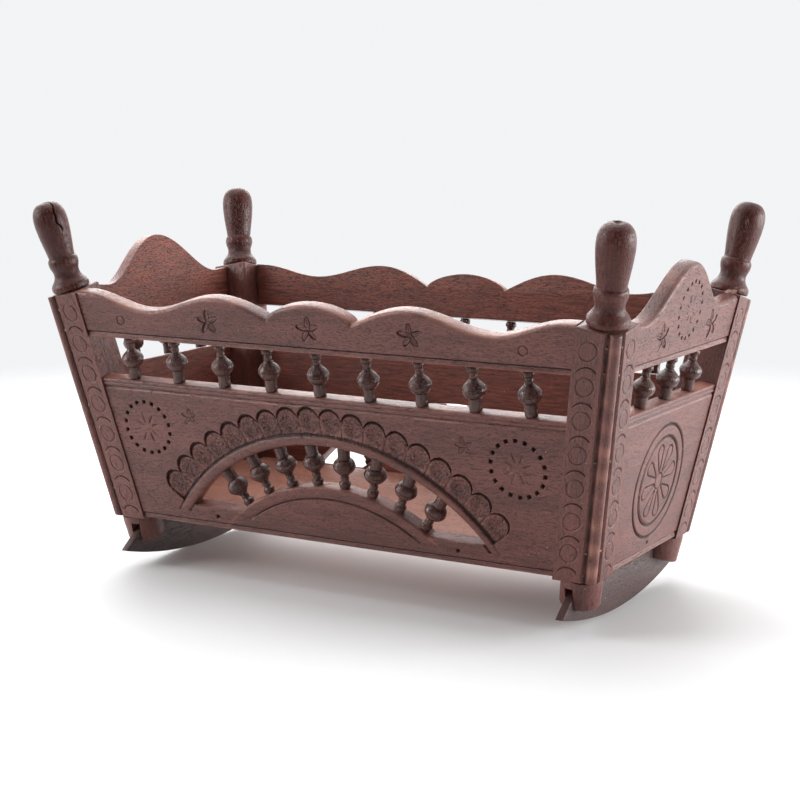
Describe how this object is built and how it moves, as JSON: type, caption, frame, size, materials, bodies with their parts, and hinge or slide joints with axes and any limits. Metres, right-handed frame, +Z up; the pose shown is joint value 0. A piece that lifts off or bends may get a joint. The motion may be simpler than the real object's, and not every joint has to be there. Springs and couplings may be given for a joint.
{
  "type": "rocking cradle",
  "caption": "Doll-size rocking cradle with splayed carved sides, turned spindles, corner finials and rocker boards.",
  "frame": {"origin": "on the floor under the middle of the cradle, at the rockers' lowest line", "axes": "+X along the cradle's length, +Y across it, +Z up"},
  "size_m": [0.4124, 0.2252, 0.24],
  "materials": {
    "stained_wood": "satin red-brown stain, worn lighter on the edges",
    "turned_wood": "polished red-brown stain",
    "dark_turned_wood": "dark polished stain",
    "floor_wood": "thin orange-brown stain"
  },
  "bodies": {
    "root": {"post_front_left": "stained_wood", "post_front_right": "stained_wood", "post_back_left": "stained_wood", "post_back_right": "stained_wood", "top_rail_front": "stained_wood", "top_rail_back": "stained_wood", "end_rail_left": "stained_wood", "end_rail_right": "stained_wood", "side_board_front": "stained_wood", "side_board_back": "stained_wood", "end_board_left": "stained_wood", "end_board_right": "stained_wood", "rocker_left": "stained_wood", "rocker_right": "stained_wood", "finial_front_left": "turned_wood", "finial_front_right": "turned_wood", "finial_back_left": "turned_wood", "finial_back_right": "turned_wood", "rail_spindle_front_1": "dark_turned_wood", "rail_spindle_front_2": "dark_turned_wood", "rail_spindle_front_3": "dark_turned_wood", "rail_spindle_front_4": "dark_turned_wood", "rail_spindle_front_5": "dark_turned_wood", "rail_spindle_front_6": "dark_turned_wood", "rail_spindle_front_7": "dark_turned_wood", "rail_spindle_front_8": "dark_turned_wood", "rail_spindle_front_9": "dark_turned_wood", "rail_spindle_back_1": "dark_turned_wood", "rail_spindle_back_2": "dark_turned_wood", "rail_spindle_back_3": "dark_turned_wood", "rail_spindle_back_4": "dark_turned_wood", "rail_spindle_back_5": "dark_turned_wood", "rail_spindle_back_6": "dark_turned_wood", "rail_spindle_back_7": "dark_turned_wood", "rail_spindle_back_8": "dark_turned_wood", "rail_spindle_back_9": "dark_turned_wood", "arch_spindle_front_1": "dark_turned_wood", "arch_spindle_front_2": "dark_turned_wood", "arch_spindle_front_3": "dark_turned_wood", "arch_spindle_front_4": "dark_turned_wood", "arch_spindle_front_5": "dark_turned_wood", "arch_spindle_front_6": "dark_turned_wood", "arch_spindle_front_7": "dark_turned_wood", "arch_spindle_front_8": "dark_turned_wood", "arch_spindle_back_1": "dark_turned_wood", "arch_spindle_back_2": "dark_turned_wood", "arch_spindle_back_3": "dark_turned_wood", "arch_spindle_back_4": "dark_turned_wood", "arch_spindle_back_5": "dark_turned_wood", "arch_spindle_back_6": "dark_turned_wood", "arch_spindle_back_7": "dark_turned_wood", "arch_spindle_back_8": "dark_turned_wood", "end_spindle_left_1": "dark_turned_wood", "end_spindle_left_2": "dark_turned_wood", "end_spindle_left_3": "dark_turned_wood", "end_spindle_right_1": "dark_turned_wood", "end_spindle_right_2": "dark_turned_wood", "end_spindle_right_3": "dark_turned_wood", "floor_board": "floor_wood"}
  },
  "joints": []
}
